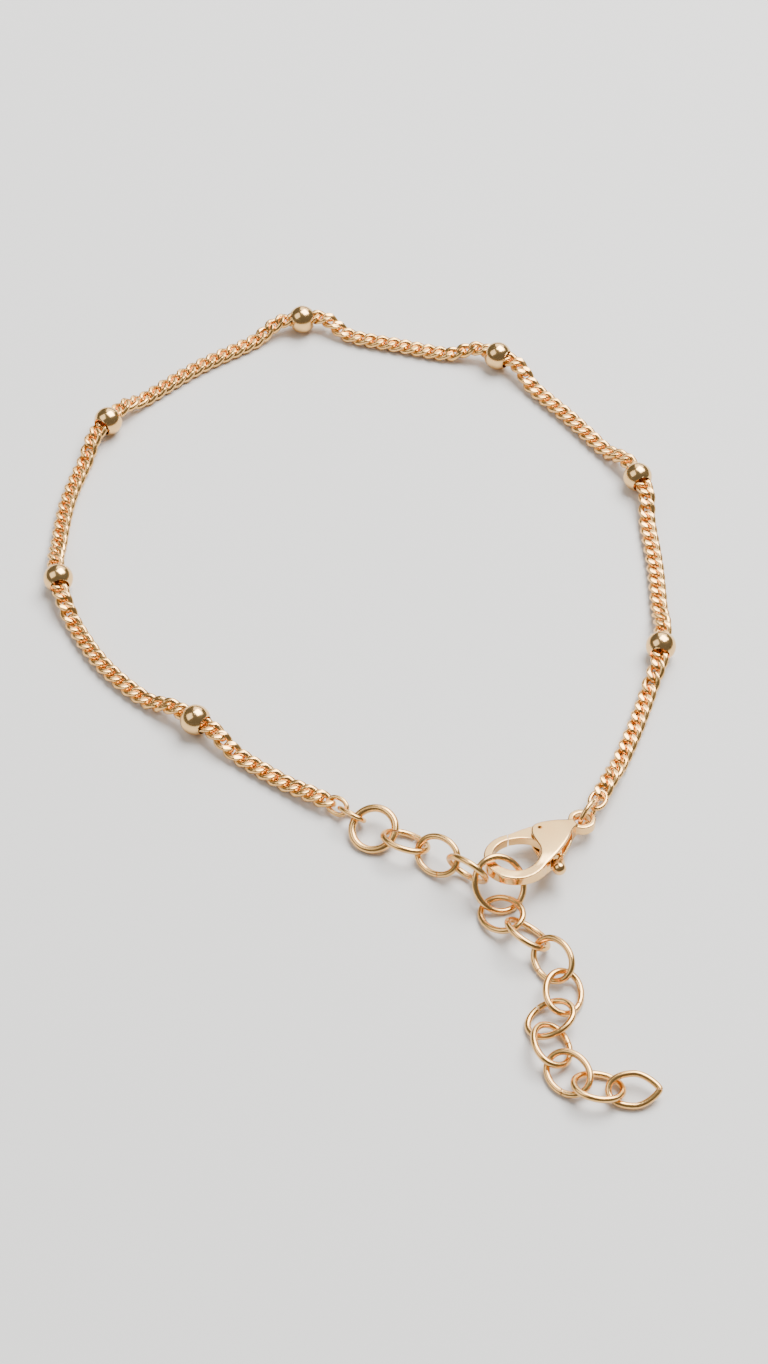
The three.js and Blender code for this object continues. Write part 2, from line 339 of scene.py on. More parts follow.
class Wire:
    """A node's output as a number in Python: arithmetic on it adds Math nodes."""

    def __init__(self, shader: Shader, socket: bpy.types.NodeSocket) -> None:
        """Wraps an output.

        Args:
            shader: The tree that it belongs to.
            socket: The output.
        """
        self.shader = shader
        self.socket = socket

    def _math(self, operation: str, left: object, right: object) -> "Wire":
        """Adds a Math node.

        Args:
            operation: What it works out.
            left: Its first value.
            right: Its second value.

        Returns:
            Its output, wrapped.
        """
        node = self.shader.node("ShaderNodeMath", {"operation": operation})
        self.shader.feed(node, 0, left)
        self.shader.feed(node, 1, right)
        return Wire(self.shader, node.outputs[0])

    def __add__(self, other: object) -> "Wire":
        """This plus other."""
        return self._math("ADD", self, other)

    def __radd__(self, other: object) -> "Wire":
        """Other plus this."""
        return self._math("ADD", other, self)

    def __sub__(self, other: object) -> "Wire":
        """This minus other."""
        return self._math("SUBTRACT", self, other)

    def __mul__(self, other: object) -> "Wire":
        """This times other."""
        return self._math("MULTIPLY", self, other)


@dataclass(frozen=True)
class GoldFinish:
    """Warm gold plate: a clouded colour, fine polishing marks and a slightly uneven gloss."""

    name: str
    colour: Colour
    deep_colour: Colour
    roughness: float
    roughness_spread: float
    mark_depth: float
    deep_share: float = 0.8
    cloud_scale: float = 900.0
    cloud_detail: float = 3.0
    mark_scale: float = 9000.0
    mark_detail: float = 4.0
    mark_roughness: float = 0.6
    mark_strength: float = 0.25
    mark_stretch: tuple[float, float, float] = (1.0, 0.12, 0.5)
    mark_turn: tuple[float, float, float] = (0.4, 0.2, 0.7)

    def make(self) -> bpy.types.Material:
        """Builds the material.

        Returns:
            The new material.
        """
        shader = Shader(self.name)
        place = shader.node("ShaderNodeTexCoord").outputs["Object"]
        clouds = shader.node(
            "ShaderNodeTexNoise", Vector=place, Scale=self.cloud_scale, Detail=self.cloud_detail
        )
        cloud = Wire(shader, clouds.outputs["Fac"])
        turned = shader.node(
            "ShaderNodeMapping", Vector=place, Scale=self.mark_stretch, Rotation=self.mark_turn
        )
        marks = shader.node(
            "ShaderNodeTexNoise",
            Vector=turned.outputs[0],
            Scale=self.mark_scale,
            Detail=self.mark_detail,
            Roughness=self.mark_roughness,
        )
        mark = Wire(shader, marks.outputs["Fac"])
        tint = shader.node("ShaderNodeMix", {"data_type": "RGBA"})
        shader.feed(tint, MIX_SHARE, cloud * self.deep_share)
        shader.feed(tint, MIX_FIRST, self.colour)
        shader.feed(tint, MIX_SECOND, self.deep_colour)
        gloss = self.roughness + (cloud + mark - 1.0) * self.roughness_spread
        bump = shader.node(
            "ShaderNodeBump", Height=mark, Strength=self.mark_strength, Distance=self.mark_depth
        )
        surface = shader.node(
            "ShaderNodeBsdfPrincipled",
            Base_Color=tint.outputs[MIX_RESULT],
            Roughness=gloss,
            Metallic=1.0,
            Normal=bump.outputs[0],
        )
        shader.node("ShaderNodeOutputMaterial", Surface=surface.outputs[0])
        return shader.material


@dataclass(frozen=True)
class PaleFloor:
    """A plain pale surface with a faint grain."""

    colour: Colour = (0.78, 0.77, 0.75, 1.0)
    roughness: float = 0.6
    grain: float = 0.04
    grain_scale: float = 400.0
    grain_detail: float = 4.0

    def make(self) -> bpy.types.Material:
        """Builds the material.

        Returns:
            The new material.
        """
        shader = Shader("pale_floor")
        place = shader.node("ShaderNodeTexCoord").outputs["Object"]
        noise = shader.node(
            "ShaderNodeTexNoise", Vector=place, Scale=self.grain_scale, Detail=self.grain_detail
        )
        gloss = self.roughness + Wire(shader, noise.outputs["Fac"]) * self.grain
        surface = shader.node("ShaderNodeBsdfPrincipled", Base_Color=self.colour, Roughness=gloss)
        shader.node("ShaderNodeOutputMaterial", Surface=surface.outputs[0])
        return shader.material


POLISHED = GoldFinish(
    name="polished_gold",
    colour=(0.96, 0.62, 0.27, 1.0),
    deep_colour=(0.88, 0.52, 0.19, 1.0),
    roughness=0.18,
    roughness_spread=0.06,
    mark_depth=0.000004,
)
SATIN = GoldFinish(
    name="satin_gold_wire",
    colour=(0.94, 0.57, 0.22, 1.0),
    deep_colour=(0.82, 0.45, 0.14, 1.0),
    roughness=0.24,
    roughness_spread=0.08,
    mark_depth=0.000008,
)


@dataclass(frozen=True)
class Lie:
    """How a piece lies: its place, and in degrees its long axis's heading and pitch and its roll."""

    x: float
    y: float
    z: float
    heading: float
    pitch: float = 0.0
    roll: float = 0.0

    def matrix(self) -> Matrix:
        """The matrix that sets the piece down, in millimetres."""
        turn = Euler((math.radians(self.roll), math.radians(-self.pitch), math.radians(self.heading)))
        return Matrix.Translation((self.x, self.y, self.z)) @ turn.to_matrix().to_4x4()


@dataclass
class Workshop:
    """Sets finished pieces down in the frame and dresses them."""

    origin: Vector = field(default_factory=Vector)
    finishes: dict[Slot, bpy.types.Material] = field(default_factory=dict)

    def open(self, known_node: str, known_place: Point) -> None:
        """Finds the plan's origin in the frame, and makes the finishes.

        Args:
            known_node: A node whose place in plan is known.
            known_place: The middle of that node in plan.
        """
        low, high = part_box(known_node)
        middle = (Vector(low) + Vector(high)) / (2 * MM)
        self.origin = Vector((middle.x - known_place[0], middle.y - known_place[1], 0))
        self.finishes = {Slot.POLISHED: POLISHED.make(), Slot.WIRE: SATIN.make()}

    def set_down(self, piece: bpy.types.Object, slot: Slot, node: str, body: Body = Body.BRACELET) -> None:
        """Puts a piece that is laid out in plan into the frame, in place of a node.

        Args:
            piece: The finished mesh, in millimetres.
            slot: Its material slot.
            node: The node that it stands for.
            body: The body that it moves with.
        """
        piece.data.transform(Matrix.Scale(MM, 4) @ Matrix.Translation(self.origin))
        piece.data.materials.clear()
        piece.data.materials.append(self.finishes[slot])
        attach(piece, body.value)
        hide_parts(node)
        LOG.info("%s: %d faces on %s", piece.name, len(piece.data.polygons), body.value)


@dataclass(frozen=True)
class WireOval:
    """An oval of round wire. long and short are from its centre to the middle of the wire."""

    long: float
    short: float
    wire: float
    point: float = 0.0
    rings: int = 24
    sides: int = 16

    def build(self, name: str) -> bpy.types.Object:
        """Bends the oval, flat in the XY plane with its long axis on X.

        Args:
            name: The new mesh's name.

        Returns:
            The closed wire oval.
        """
        Bench.clear()
        bpy.ops.curve.primitive_bezier_circle_add(radius=1)
        loop = Bench.take(name)
        with Bench.editing(loop):
            bpy.ops.curve.select_all(action="SELECT")
            bpy.ops.transform.resize(value=(self.long, self.short, 1))
        head = max(loop.data.splines[0].bezier_points, key=lambda knot: knot.co.x)
        head.handle_left_type = head.handle_right_type = "FREE"
        head.handle_left.y *= 1 - self.point
        head.handle_right.y *= 1 - self.point
        loop.data.bevel_depth = self.wire
        # A bevel of resolution 0 already has four sides, and each step adds two.
        loop.data.bevel_resolution = (self.sides - 4) // 2
        loop.data.resolution_u = self.rings
        Bench.pick(loop)
        bpy.ops.object.convert(target="MESH")
        return Bench.take(name)


@dataclass(frozen=True)
class LooseLink:
    """One link or ring of the extender, with the seam where its cut ends meet."""

    name: str
    size: WireOval
    lie: Lie
    seam: float
    spread: float = 0.0
    spring_reach: float = 70.0
    crease: float = 50.0

    def build(self) -> bpy.types.Object:
        """Bends the link, opens its seam and lays it in place.

        Returns:
            The link, in plan.
        """
        link = self.size.build(f"{self.name}_wire")
        self._open_seam(link)
        link.data.transform(self.lie.matrix())
        Bench.smooth(link, self.crease)
        return link

    def _turn(self, x: float, y: float) -> float:
        """How far round the oval a point is from the seam, in radians either way."""
        angle = math.atan2(y / self.size.short, x / self.size.long) - math.radians(self.seam)
        return (angle + math.pi) % (2 * math.pi) - math.pi

    def _open_seam(self, link: bpy.types.Object) -> None:
        """Takes out one ring of faces, closes the two ends and springs one of them aside."""
        half_band = math.pi / (4 * self.size.rings)
        mesh = link.data
        for vertex in mesh.vertices:
            vertex.select = False
        for edge in mesh.edges:
            edge.select = False
        for face in mesh.polygons:
            face.select = abs(self._turn(face.center.x, face.center.y)) < half_band
        with Bench.editing(link):
            bpy.ops.mesh.select_mode(type="FACE")
            bpy.ops.mesh.delete(type="FACE")
            bpy.ops.mesh.select_all(action="SELECT")
            bpy.ops.mesh.fill_holes(sides=0)
            bpy.ops.mesh.select_all(action="SELECT")
            bpy.ops.mesh.normals_make_consistent(inside=False)
        reach = math.radians(self.spring_reach)
        for vertex in mesh.vertices:
            turn = self._turn(vertex.co.x, vertex.co.y)
            if 0 < turn < reach:
                vertex.co.z += self.spread * (1 - turn / reach) ** 2


EXTENDER_OVAL = WireOval(long=1.79, short=1.415, wire=0.25)
HOOKED_OVAL = WireOval(long=2.1, short=1.9, wire=0.25)
LAST_OVAL = WireOval(long=1.84, short=1.18, wire=0.25, point=0.75)
JUMP_OVAL = WireOval(long=1.7, short=1.7, wire=0.31, rings=18)
END_OVAL = WireOval(long=1.14, short=0.8, wire=0.19)
CLASP_RING_OVAL = WireOval(long=1.25, short=1.0, wire=0.2)

LINKS = [
    LooseLink("end_link", END_OVAL, Lie(-2.5, -14.25, 0.96, -40, 9, -55), seam=100),
    LooseLink("jump_ring", JUMP_OVAL, Lie(-0.8, -15.65, 0.95, -31, -1, 21), seam=20),
    LooseLink("extender_01", EXTENDER_OVAL, Lie(1.65, -16.9, 1.0, -27, 1, -30), seam=80),
    LooseLink("extender_02", EXTENDER_OVAL, Lie(4.1, -18.45, 1.3, -35, 9, 44), seam=-70),
    LooseLink("extender_03", EXTENDER_OVAL, Lie(6.35, -20.15, 1.9, -44, 27, -74), seam=110),
    LooseLink("extender_04", HOOKED_OVAL, Lie(8.75, -21.35, 1.6, -60, -39, 4), seam=15, spread=0.12),
    LooseLink("extender_05", EXTENDER_OVAL, Lie(8.9, -23.55, 0.78, -43, 14, 10), seam=100),
    LooseLink("extender_06", EXTENDER_OVAL, Lie(10.75, -25.65, 1.17, -46, 0, -39), seam=60, spread=0.1),
    LooseLink("extender_07", EXTENDER_OVAL, Lie(12.55, -27.95, 1.22, -55, 0, 41), seam=-100),
    LooseLink("extender_08", EXTENDER_OVAL, Lie(13.25, -30.6, 0.83, -102, -1, -22), seam=75),
    LooseLink("extender_09", EXTENDER_OVAL, Lie(12.2, -32.85, 0.75, -150, -12, 12), seam=-80),
    LooseLink("extender_10", EXTENDER_OVAL, Lie(12.2, -35.15, 0.85, -80, 2, -23), seam=95),
    LooseLink("extender_11", EXTENDER_OVAL, Lie(13.3, -37.45, 0.73, -52, -1, 18), seam=-65),
    LooseLink("extender_12", EXTENDER_OVAL, Lie(15.4, -38.63, 0.81, -6, -6, -20), seam=105),
    LooseLink("extender_13", LAST_OVAL, Lie(17.95, -38.85, 0.75, -1, 4, 19), seam=-3),
]


@dataclass(frozen=True)
class Support:
    """A place that the chain rests on.

    bow is how far the stretch that ends here swings to the left of its straight line.
    """

    name: str
    x: float
    y: float
    z: float
    bow: float


BEAD_RADIUS = 1.25
SUPPORTS = [
    Support("clasp_end", 16.7, -13.02, 1.2, 0.0),
    Support("bead_1", 22.7, 2.8, BEAD_RADIUS, -0.45),
    Support("bead_2", 22.0, 22.2, BEAD_RADIUS, -0.55),
    Support("bead_3", 10.3, 37.5, BEAD_RADIUS, -0.5),
    Support("bead_4", -7.5, 42.4, BEAD_RADIUS, 0.3),
    Support("bead_5", -24.4, 29.1, BEAD_RADIUS, -1.35),
    Support("bead_6", -27.3, 10.3, BEAD_RADIUS, -1.5),
    Support("bead_7", -15.1, -5.0, BEAD_RADIUS, -2.2),
    Support("extender_end", -3.65, -13.3, 0.8, -0.5),
]


class ChainRoute:
    """The chain's way from the clasp ring round the loop to the extender."""

    rest_height: float = 0.515
    straight: float = 1.7
    descent: float = 3.6
    bow_steps: tuple[float, ...] = (0.25, 0.5, 0.75)

    def __init__(self) -> None:
        """Works the way out from the supports."""
        points: list[np.ndarray] = []
        places: dict[str, int] = {}
        bows = [self._bow(a, b) for a, b in zip(SUPPORTS, SUPPORTS[1:])]
        for index, support in enumerate(SUPPORTS):
            centre = np.array([support.x, support.y])
            inner = 0 < index < len(SUPPORTS) - 1
            if inner:
                run = bows[index][0] - bows[index - 1][-1]
                run *= self.straight / np.linalg.norm(run)
                points.append(centre - run)
            places[support.name] = len(points)
            points.append(centre)
            if inner:
                points.append(centre + run)
            if index < len(bows):
                points.extend(bows[index])
        self.plan = Curve(np.array(points))
        self.along = {name: self.plan.along_of(index) for name, index in places.items()}
        self.length = self.plan.length

    @staticmethod
    def _bow(start: Support, end: Support) -> list[np.ndarray]:
        """Works out a bowed stretch between two supports.

        Args:
            start: The support that it leaves.
            end: The support that it comes to, which has the bow.

        Returns:
            The points between the two, in plan.
        """
        first = np.array([start.x, start.y])
        last = np.array([end.x, end.y])
        run = (last - first) / np.linalg.norm(last - first)
        left = np.array([-run[1], run[0]])
        steps = ChainRoute.bow_steps
        return [first + (last - first) * t + left * 4 * end.bow * t * (1 - t) for t in steps]

    def point(self, along: float) -> np.ndarray:
        """Finds the middle of the chain, which comes down smoothly from each support to the surface.

        Args:
            along: The length along the chain.

        Returns:
            The point.
        """
        height = self.rest_height
        for support in SUPPORTS:
            away = (abs(along - self.along[support.name]) - self.straight) / self.descent
            t = min(max(away, 0.0), 1.0)
            height += (support.z - self.rest_height) * (1 - t**3 * (t * (6 * t - 15) + 10))
        return np.array([*self.plan.at(along), height])

    def lie(self, along: float, reach: float = 0.5) -> Lie:
        """How a link lies at a length along the chain.

        Args:
            along: The length.
            reach: How far each way the direction is taken over.

        Returns:
            The link's place, heading and pitch.
        """
        x, y, z = self.point(along)
        before = self.point(max(along - reach, 0.0))
        after = self.point(min(along + reach, self.length))
        run = after - before
        heading = math.degrees(math.atan2(run[1], run[0]))
        pitch = math.degrees(math.atan2(run[2], math.hypot(run[0], run[1])))
        return Lie(x, y, z, heading, pitch)


@dataclass
class CurbChain:
    """The curb chain: twisted oval links, ground flat above and below, each through the next."""

    route: ChainRoute
    link: WireOval = WireOval(long=0.82, short=0.49, wire=0.27, rings=8, sides=12)
    last_link: WireOval = WireOval(long=0.88, short=0.6, wire=0.19, rings=12, sides=12)
    twist: float = -125.0
    flat: float = 0.4
    pitch: float = 1.09
    first: float = 1.2
    clasp_lie: tuple[float, float] = (66.0, 0.0)
    extender_lie: tuple[float, float] = (-38.0, 35.0)
    sway: float = 1.2
    slow_wave: float = 0.37
    quick_wave: float = 2.1
    quick_share: float = 0.6
    crease: float = 40.0

    def build(self) -> dict[str, bpy.types.Object]:
        """Makes both halves of the chain, which meet inside the fourth bead.

        Returns:
            Each half by the name of its node, in plan.
        """
        span = self.route.length - 2 * self.first
        count = round(span / self.pitch) + 1
        places = self.first + np.arange(count) * span / (count - 1)
        middle = self.route.along["bead_4"]
        shape = self._curb_link()
        end_shape = self.last_link.build("last_link")
        clasp_end = self._end_lie(0.0, self.clasp_lie)
        extender_end = self._end_lie(self.route.length, self.extender_lie)
        halves = {}
        for node, chosen, end_lie in (
            ("curb_chain_right", places[places < middle], clasp_end),
            ("curb_chain_left", places[places >= middle], extender_end),
        ):
            lies = [self._swayed(self.route.lie(along), along) for along in chosen]
            half = self._lay_copies(f"{node}_links", shape, lies)
            end = self._lay_copies("end", end_shape, [end_lie])
            halves[node] = Bench.join(half, end)
            Bench.smooth(halves[node], self.crease)
        bpy.data.objects.remove(shape)
        bpy.data.objects.remove(end_shape)
        return halves

    def _curb_link(self) -> bpy.types.Object:
        """Makes the one link that is copied along the chain."""
        link = self.link.build("curb_link")
        twist = math.radians(self.twist)
        Bench.modify(link, "SIMPLE_DEFORM", deform_method="TWIST", deform_axis="X", angle=twist)
        for side in (1, -1):
            with Bench.editing(link):
                bpy.ops.mesh.select_all(action="SELECT")
                bpy.ops.mesh.bisect(
                    plane_co=(0, 0, side * self.flat), plane_no=(0, 0, side), clear_outer=True, use_fill=True
                )
        return link

    def _end_lie(self, along: float, turn: tuple[float, float]) -> Lie:
        """How a last link lies at one end of the chain."""
        x, y, z = self.route.point(along)
        return Lie(x, y, z, turn[0], 0.0, turn[1])

    def _swayed(self, lie: Lie, along: float) -> Lie:
        """Rolls a link a little, in waves along the chain.

        Args:
            lie: How the link lies.
            along: The length along the chain.

        Returns:
            The same place and direction, rolled.
        """
        waves = math.sin(along * self.slow_wave) + self.quick_share * math.sin(along * self.quick_wave)
        roll = self.sway * waves
        return Lie(lie.x, lie.y, lie.z, lie.heading, lie.pitch, roll)

    @staticmethod
    def _lay_copies(name: str, shape: bpy.types.Object, lies: list[Lie]) -> bpy.types.Object:
        """Lays a copy of a mesh at each place and joins them into one mesh.

        Args:
            name: The new mesh's name.
            shape: The mesh to copy.
            lies: Where the copies go.

        Returns:
            The joined copies.
        """
        corners = np.array([vertex.co for vertex in shape.data.vertices])
        faces = [tuple(face.vertices) for face in shape.data.polygons]
        vertices = []
        polygons = []
        for number, lie in enumerate(lies):
            matrix = np.array(lie.matrix())
            vertices.append(corners @ matrix[:3, :3].T + matrix[:3, 3])
            polygons += [tuple(index + number * len(corners) for index in face) for face in faces]
        mesh = bpy.data.meshes.new(name)
        mesh.from_pydata(np.vstack(vertices).tolist(), [], polygons)
        copies = bpy.data.objects.new(name, mesh)
        bpy.context.collection.objects.link(copies)
        return copies


@dataclass
class BeadRow:
    """The seven polished beads, drilled for the chain, with a softened rim to each hole."""

    route: ChainRoute
    radius: float = 1.245
    bore: float = 0.8
    rim: float = 0.07
    rim_segments: int = 4
    rim_angle: float = 60.0
    crease: float = 60.0
    segments: int = 64
    rings: int = 40

    def build(self) -> dict[str, bpy.types.Object]:
        """Makes the beads.

        Returns:
            Each bead by the name of its node, in plan.
        """
        beads = {}
        for support in SUPPORTS:
            if support.name.startswith("bead_"):
                lie = self.route.lie(self.route.along[support.name])
                beads[support.name] = self._bead(f"{support.name}_ball", lie)
        return beads

    def _bead(self, name: str, lie: Lie) -> bpy.types.Object:
        """Drills one ball along X and lays it on the chain.

        Args:
            name: The new mesh's name.
            lie: How it lies.

        Returns:
            The bead, in plan.
        """
        Bench.clear()
        bpy.ops.mesh.primitive_uv_sphere_add(
            segments=self.segments, ring_count=self.rings, radius=self.radius
        )
        bead = Bench.take(name)
        edge = math.sqrt(self.radius**2 - self.bore**2)
        with Bench.editing(bead):
            for side in (1, -1):
                bpy.ops.mesh.select_all(action="SELECT")
                bpy.ops.mesh.bisect(plane_co=(0, 0, side * edge), plane_no=(0, 0, side), clear_outer=True)
            bpy.ops.mesh.select_mode(type="EDGE")
            bpy.ops.mesh.select_all(action="DESELECT")
            bpy.ops.mesh.select_non_manifold()
            bpy.ops.mesh.bridge_edge_loops()
            bpy.ops.mesh.select_all(action="SELECT")
            bpy.ops.mesh.normals_make_consistent(inside=False)
        Bench.modify(
            bead,
            "BEVEL",
            width=self.rim,
            segments=self.rim_segments,
            limit_method="ANGLE",
            angle_limit=math.radians(self.rim_angle),
        )
        bead.data.transform(lie.matrix() @ Matrix.Rotation(math.pi / 2, 4, "Y"))
        Bench.smooth(bead, self.crease)
        return bead


@dataclass
class LobsterClasp:
    """The clasp: a hooked body of two cheeks with a lever between them.

    It is shaped with its eyelet at the origin and its hook towards +X.
    """

    lie: Lie = Lie(15.33, -15.18, 1.2, 209.2, 5, 8.5)
    hook_outer: tuple[Point, Point] = ((6.6, 1.04), (2.55, 2.44))
    hook_inner: tuple[Point, Point] = ((6.5, 0.92), (1.85, 1.72))
    hook_points: int = 60
    root_points: int = 14
    tip_angle: float = -106.0
    shoulder_angle: float = 177.0
    root_angle: float = 125.0
    thin_angles: tuple[float, float, float, float] = (-125.0, -120.0, 60.0, 150.0)
    body_thickness: float = 1.6
    hook_thickness: float = 0.98
    neck_thickness: float = 1.3
    neck: Point = (0.6, 2.2)
    crown: Point = (3.2, 0.9)
    crown_fall: Point = (0.008, 0.02)
    crown_reach: float = 2.0
    eyelet_radius: float = 1.08
    eyelet_hole: float = 0.66
    eyelet_thickness: float = 0.8
    eyelet_sides: int = 64
    slot_thickness: float = 1.0
    slot_corner: Point = (1.5, -2.0)
    slot_ends: tuple[Point, Point] = ((4.9, 1.05), (4.65, 4.0))
    lever_thickness: float = 0.74
    pivot: Point = (3.6, -0.42)
    pin_radius: float = 0.18
    pin_depth: float = 0.2
    pin_sides: int = 24
    seam_outer: Point = (6.0, -1.4)
    seam_inner: Point = (6.27, -0.77)
    seam_width: float = 0.09
    seam_reach: float = 1.2
    seam_ends: Point = (0.9, 0.25)
    nub: Point = (4.28, 3.48)
    nub_radius: float = 0.54
    nub_neck: Point = (3.15, 2.1)
    nub_taper: float = 0.35
    nub_faces: tuple[int, int] = (40, 24)
    ring_heading: float = 56.0
    ring_reach: float = 1.02
    ring_height: float = 1.22
    ring_seam: float = 60.0
    grain: float = 0.045
    plate_rounds: int = 4
    body_rounds: int = 10
    lever_rounds: int = 7
    crease: float = 40.0

    gate_edge: list[Point] = field(default_factory=lambda: [
        (0.75, -0.2), (1.15, -0.3), (2.25, -0.68), (3.1, -0.95), (3.7, -0.98), (4.1, -0.8), (4.38, -0.4),
        (4.54, 0.1), (4.62, 0.6),
    ])
    spine_edge: list[Point] = field(default_factory=lambda: [
        (5.0, 3.02), (4.5, 2.83), (3.5, 2.36), (2.6, 1.84), (1.9, 1.33), (1.4, 0.9), (0.75, 0.55),
    ])
    lever_inside: list[Point] = field(default_factory=lambda: [
        (6.6, -0.8), (6.1, -0.78), (5.3, -0.5), (4.72, -0.1), (4.35, 0.6), (4.1, 1.5), (4.05, 2.2),
    ])
    lever_outside: list[Point] = field(default_factory=lambda: [
        (3.3, 2.3), (3.05, 1.5), (3.1, 0.4), (3.05, -0.4), (3.4, -1.05), (3.9, -1.2), (6.6, -1.33),
    ])

    def build_body(self) -> bpy.types.Object:
        """Makes the hook, cheeks and eyelet as one casting.

        Returns:
            The body, in plan.
        """
        inner_root = oval(*self.hook_inner, self.shoulder_angle, self.root_angle, self.root_points)
        inner_hook = oval(*self.hook_inner, self.root_angle, self.tip_angle, self.hook_points)[1:]
        outer_hook = oval(*self.hook_outer, self.tip_angle, self.root_angle, self.hook_points)
        hook = inner_root + inner_hook + outer_hook
        outline = through(self.gate_edge) + hook + through(self.spine_edge)
        body = Bench.plate("clasp_body_casting", outline, self.body_thickness)
        self._cut_slot(body)
        Bench.cast(body, self.grain, self.plate_rounds)
        for vertex in body.data.vertices:
            vertex.co.z *= self._thinning(vertex.co.x, vertex.co.y)
        Bench.join(body, self._eyelet())
        Bench.cast(body, self.grain, self.body_rounds)
        Bench.cut(body, self._seam_block(-self.seam_reach, 0.0))
        Bench.cut(body, self._drill())
        body.data.transform(self.lie.matrix())
        Bench.smooth(body, self.crease)
        return body

    def build_lever(self) -> bpy.types.Object:
        """Makes the gate bar, tail and thumb nub as one piece.

        Returns:
            The lever, in plan, closed.
        """
        outline = through(self.lever_inside) + through(self.lever_outside)
        lever = Bench.plate("clasp_lever_casting", outline, self.lever_thickness)
        Bench.join(lever, self._nub())
        Bench.cast(lever, self.grain, self.lever_rounds)
        Bench.cut(lever, self._seam_block(-self.seam_width, self.seam_reach))
        lever.data.transform(self.lie.matrix())
        Bench.smooth(lever, self.crease)
        return lever

    def _thinning(self, x: float, y: float) -> float:
        """Works out how the body thins round the hook, towards the eyelet and away from its crown.

        Args:
            x: The place along the clasp.
            y: The place across it.

        Returns:
            The share of the thickness that is left there.
        """
        centre = self.hook_inner[0]
        turn = math.degrees(math.atan2(y - centre[1], x - centre[0]))
        hook = 1 - self.hook_thickness / self.body_thickness
        neck = 1 - self.neck_thickness / self.body_thickness
        round_hook = hook * self._ease(np.interp(turn, self.thin_angles, (0, 1, 1, 0)))
        to_eyelet = neck * self._ease(np.interp(x, self.neck, (1, 0)))
        off_x = min(x - self.crown[0], self.crown_reach)
        off_y = y - self.crown[1]
        fall = self.crown_fall[0] * off_x**2 + self.crown_fall[1] * min(off_y**2, self.crown_reach**2)
        return float(1 - round_hook - to_eyelet - fall)

    @staticmethod
    def _ease(share: float) -> float:
        """Eases a share between 0 and 1 in and out."""
        return share * share * (3 - 2 * share)

    def _seam_block(self, left: float, right: float) -> bpy.types.Object:
        """Makes a block that lies along the seam between gate and hook.

        Args:
            left: Where it starts, to the right of the hook's end face.
            right: Where it ends, counted in the same way.

        Returns:
            The block.
        """
        inner = Vector(self.seam_inner)
        outer = Vector(self.seam_outer)
        run = (inner - outer).normalized()
        across = Vector((run.y, -run.x))
        low = outer - run * self.seam_ends[0]
        high = inner + run * self.seam_ends[1]
        corners = [low + across * left, low + across * right, high + across * right, high + across * left]
        return Bench.plate("seam", [(corner.x, corner.y) for corner in corners], 2 * self.body_thickness)

    def _cut_slot(self, plate: bpy.types.Object) -> None:
        """Cuts the lever's slot, open on the gate side and the spine side.

        Args:
            plate: The body's plate.
        """
        half = self.slot_thickness / 2
        for end in self.slot_ends:
            Bench.cut(plate, Bench.box((*self.slot_corner, -half), (*end, half)))

    def _drill(self) -> bpy.types.Object:
        """Makes the drill for the dimple over the pivot pin, in the upper cheek.

        Returns:
            The drill.
        """
        Bench.clear()
        bpy.ops.mesh.primitive_cylinder_add(
            vertices=self.pin_sides, radius=self.pin_radius, depth=2 * self.pin_depth
        )
        drill = Bench.take("drill")
        drill.data.transform(Matrix.Translation((*self.pivot, self.body_thickness / 2)))
        return drill

    def _eyelet(self) -> bpy.types.Object:
        """Makes the eyelet ring.

        Returns:
            The ring, at the origin.
        """
        sides = self.eyelet_sides
        thickness = self.eyelet_thickness
        Bench.clear()
        bpy.ops.mesh.primitive_cylinder_add(vertices=sides, radius=self.eyelet_radius, depth=thickness)
        eyelet = Bench.take("eyelet")
        Bench.clear()
        bpy.ops.mesh.primitive_cylinder_add(vertices=sides, radius=self.eyelet_hole, depth=4 * thickness)
        Bench.cut(eyelet, Bench.take("eyelet_hole"))
        return eyelet

    def _nub(self) -> bpy.types.Object:
        """Makes the thumb nub: a ball drawn out into a neck that runs into the slot.

        Returns:
            The nub, in its place on the lever.
        """
        segments, rings = self.nub_faces
        Bench.clear()
        bpy.ops.mesh.primitive_uv_sphere_add(segments=segments, ring_count=rings, radius=self.nub_radius)
        nub = Bench.take("nub")
        neck = Vector(self.nub_neck) - Vector(self.nub)
        nub.data.transform(Matrix.Rotation(math.pi / 2, 4, "Y"))
        for vertex in nub.data.vertices:
            drawn = min(vertex.co.x / self.nub_radius, 1.0)
            if drawn > 0:
                narrowing = (1 - drawn) ** self.nub_taper / math.sqrt(1 + drawn)
                vertex.co = (neck.length * drawn, vertex.co.y * narrowing, vertex.co.z * narrowing)
        turn = Matrix.Rotation(math.atan2(neck.y, neck.x), 4, "Z")
        nub.data.transform(Matrix.Translation((*self.nub, 0)) @ turn)
        return nub

    def ring(self) -> LooseLink:
        """Works out the ring that stands through the eyelet and holds the chain's last link.

        Returns:
            The ring, still to be built.
        """
        turn = math.radians(self.ring_heading)
        x = self.lie.x + self.ring_reach * math.cos(turn)
        y = self.lie.y + self.ring_reach * math.sin(turn)
        lie = Lie(x, y, self.ring_height, self.ring_heading, 0, 90)
        return LooseLink("clasp_ring", CLASP_RING_OVAL, lie, seam=self.ring_seam)


